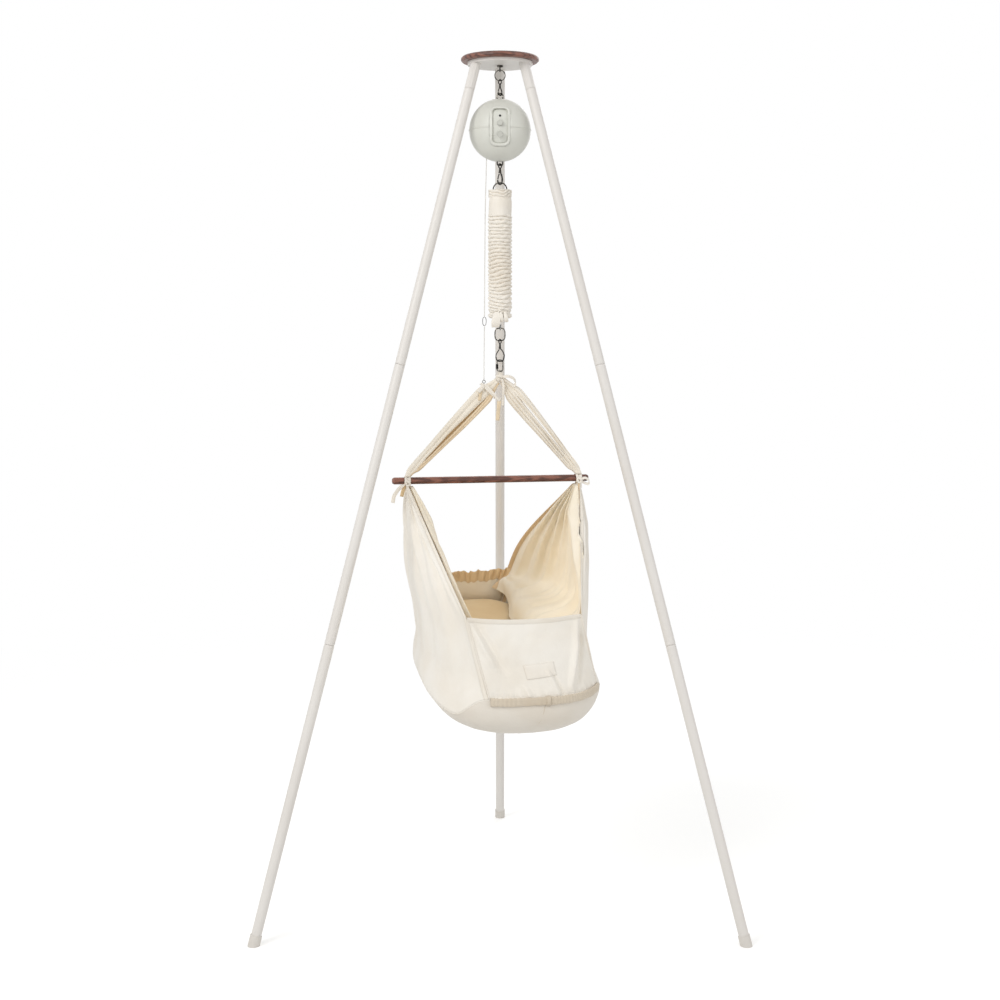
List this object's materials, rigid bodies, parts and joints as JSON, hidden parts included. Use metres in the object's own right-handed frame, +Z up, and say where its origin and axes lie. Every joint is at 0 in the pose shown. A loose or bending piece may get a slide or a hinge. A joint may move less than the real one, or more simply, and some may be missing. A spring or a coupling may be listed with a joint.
{
  "type": "baby hammock",
  "caption": "Baby hammock: a cloth bucket with a mattress, hung from a wooden bar, a covered spring and a ball-shaped rocking motor under a tripod stand.",
  "frame": {"origin": "on the floor, at the middle of the whole object's footprint box", "axes": "+Z up; +X to the right of the side with the control panel; +Y towards the back leg. The stand's own axis is 136 mm in front of the origin."},
  "size_m": [1.065, 0.953, 1.8832],
  "materials": {
    "walnut": "oiled dark walnut with visible grain",
    "stand_paint": "satin warm white powder coat",
    "foot_rubber": "matt light grey rubber",
    "nickel": "dark bright nickel plate",
    "shell_plastic": "fine satin off-white plastic",
    "knob_plastic": "satin light grey plastic",
    "dark_plastic": "glossy black plastic",
    "steel": "plain drawn steel",
    "circuit_board": "green board laminate",
    "cotton": "natural white woven cotton",
    "trim_cotton": "beige woven cotton, puckered",
    "mattress_cover": "soft unbleached cotton cover",
    "safety_cord": "white braided cord"
  },
  "bodies": {
    "stand": {"top_disc": "walnut", "top_plate": "stand_paint", "eye_bolt": "nickel", "leg_upper_left": "stand_paint", "leg_upper_right": "stand_paint", "leg_upper_back": "stand_paint", "leg_middle_left": "stand_paint", "leg_middle_right": "stand_paint", "leg_middle_back": "stand_paint", "leg_lower_left": "stand_paint", "leg_lower_right": "stand_paint", "leg_lower_back": "stand_paint", "foot_cap_left": "foot_rubber", "foot_cap_right": "foot_rubber", "foot_cap_back": "foot_rubber"},
    "top_ring": {"top_ring": "nickel"},
    "top_hook": {"top_hook": "nickel"},
    "top_hook_gate": {"top_hook_gate": "nickel"},
    "motor": {"motor_shell_upper": "shell_plastic", "motor_shell_lower": "shell_plastic", "control_panel": "shell_plastic", "status_lens": "dark_plastic", "top_bail": "nickel", "motor_chassis": "steel", "gear_motor": "steel", "control_board": "circuit_board", "power_inlet": "dark_plastic"},
    "timer_knob": {"timer_knob": "knob_plastic"},
    "speed_knob": {"speed_knob": "knob_plastic"},
    "crank": {"crank_disc": "steel"},
    "drive": {"drive_yoke": "steel"},
    "lower_hook": {"lower_hook": "nickel"},
    "lower_hook_gate": {"lower_hook_gate": "nickel"},
    "spring_top": {"spring_ring": "nickel", "spring": "steel", "spring_cover": "cotton", "safety_cord_upper": "safety_cord"},
    "spring_bottom": {"cover_tie": "cotton", "cord_clip": "nickel", "safety_cord_lower": "safety_cord"},
    "d_link": {"d_link": "nickel"},
    "carabiner": {"carabiner": "nickel"},
    "carabiner_gate": {"carabiner_gate": "nickel"},
    "lower_link": {"lower_link": "nickel"},
    "link_sleeve": {"link_sleeve": "steel"},
    "hammock": {"cord_ring": "nickel", "hanging_loop": "cotton", "left_strap": "cotton", "right_strap": "cotton", "spreader_bar": "walnut", "left_bar_tie": "cotton", "right_bar_tie": "cotton", "left_side_panel": "cotton", "right_side_panel": "cotton", "near_end_panel": "cotton", "far_end_panel": "cotton", "bed_pocket": "cotton", "pocket_trim": "trim_cotton", "mattress": "mattress_cover"}
  },
  "joints": [
    {"name": "ring_swing", "type": "hinge", "parent": "stand", "child": "top_ring", "pos_m": [0, -0.1363, 1.8559], "axis": [1, 0, 0], "range_deg": [-6, 0.8]},
    {"name": "hook_swing", "type": "hinge", "parent": "top_ring", "child": "top_hook", "pos_m": [0, -0.1363, 1.8445], "axis": [0, 1, 0], "range_deg": [-3, 3]},
    {"name": "top_gate", "type": "hinge", "parent": "top_hook", "child": "top_hook_gate", "pos_m": [-0.00136, -0.13766, 1.81718], "axis": [0.7071, -0.7071, 0], "range_deg": [0, 14], "stiffness_Nm_per_rad": 0.002, "springref_deg": -11.46},
    {"name": "motor_turn", "type": "hinge", "parent": "top_hook", "child": "motor", "pos_m": [0, -0.1363, 1.80575], "axis": [0, 0, 1], "range_deg": [-15, 7]},
    {"name": "timer_knob_turn", "type": "hinge", "parent": "motor", "child": "timer_knob", "pos_m": [0, -0.20067, 1.7344], "axis": [0, -0.9934, 0.1149], "range_deg": [-135, 135]},
    {"name": "speed_knob_turn", "type": "hinge", "parent": "motor", "child": "speed_knob", "pos_m": [0, -0.19915, 1.71116], "axis": [0, -0.9699, -0.2436], "range_deg": [-135, 135]},
    {"name": "drive_stroke", "type": "slide", "parent": "motor", "child": "drive", "axis": [0, 0, -1], "range_m": [0, 0.015]},
    {"name": "crank_turn", "type": "hinge", "parent": "motor", "child": "crank", "pos_m": [0, -0.1318, 1.73495], "axis": [0, 1, 0], "range_deg": [0, 180]},
    {"name": "lower_hook_swing", "type": "hinge", "parent": "drive", "child": "lower_hook", "pos_m": [0, -0.1363, 1.6553], "axis": [0, -1, 0], "range_deg": [-3, 3]},
    {"name": "lower_gate", "type": "hinge", "parent": "lower_hook", "child": "lower_hook_gate", "pos_m": [-0.00163, -0.13467, 1.63395], "axis": [-0.7071, -0.7071, 0], "range_deg": [0, 14], "stiffness_Nm_per_rad": 0.002, "springref_deg": -11.46},
    {"name": "spring_ring_swing", "type": "hinge", "parent": "lower_hook", "child": "spring_top", "pos_m": [0, -0.1363, 1.6145], "axis": [1, 0, 0], "range_deg": [-2, 0.4]},
    {"name": "spring_stretch", "type": "slide", "parent": "spring_top", "child": "spring_bottom", "axis": [0, 0, -1], "range_m": [-0.03, 0.1], "stiffness_N_per_m": 600, "springref_m": -0.0988, "deforming": ["spring", "spring_cover", "safety_cord_upper"]},
    {"name": "d_link_swing", "type": "hinge", "parent": "spring_bottom", "child": "d_link", "pos_m": [0, -0.1363, 1.2936], "axis": [0, 1, 0], "range_deg": [-2, 2], "deforming": ["safety_cord_lower"]},
    {"name": "carabiner_swing", "type": "hinge", "parent": "d_link", "child": "carabiner", "pos_m": [0, -0.1363, 1.2725], "axis": [0, -1, 0], "range_deg": [-2, 2]},
    {"name": "carabiner_gate_swing", "type": "hinge", "parent": "carabiner", "child": "carabiner_gate", "pos_m": [-0.0016, -0.13524, 1.25023], "axis": [-0.5519, -0.8339, 0], "range_deg": [0, 16], "stiffness_Nm_per_rad": 0.002, "springref_deg": -11.46},
    {"name": "link_turn", "type": "hinge", "parent": "carabiner", "child": "lower_link", "pos_m": [0, -0.1363, 1.2268], "axis": [0, 0, 1], "range_deg": [-8, 8]},
    {"name": "sleeve_slide", "type": "slide", "parent": "lower_link", "child": "link_sleeve", "axis": [0, 0, 1], "range_m": [0, 0.005]},
    {"name": "hammock_rock", "type": "hinge", "parent": "lower_link", "child": "hammock", "pos_m": [0, -0.1363, 1.2021], "axis": [0.9799, 0.1994, 0], "range_deg": [-5, 0.5]}
  ],
  "couplings": [
    {"joint": "crank_turn", "follows": "drive_stroke", "rad_per_m": 209.44}
  ]
}
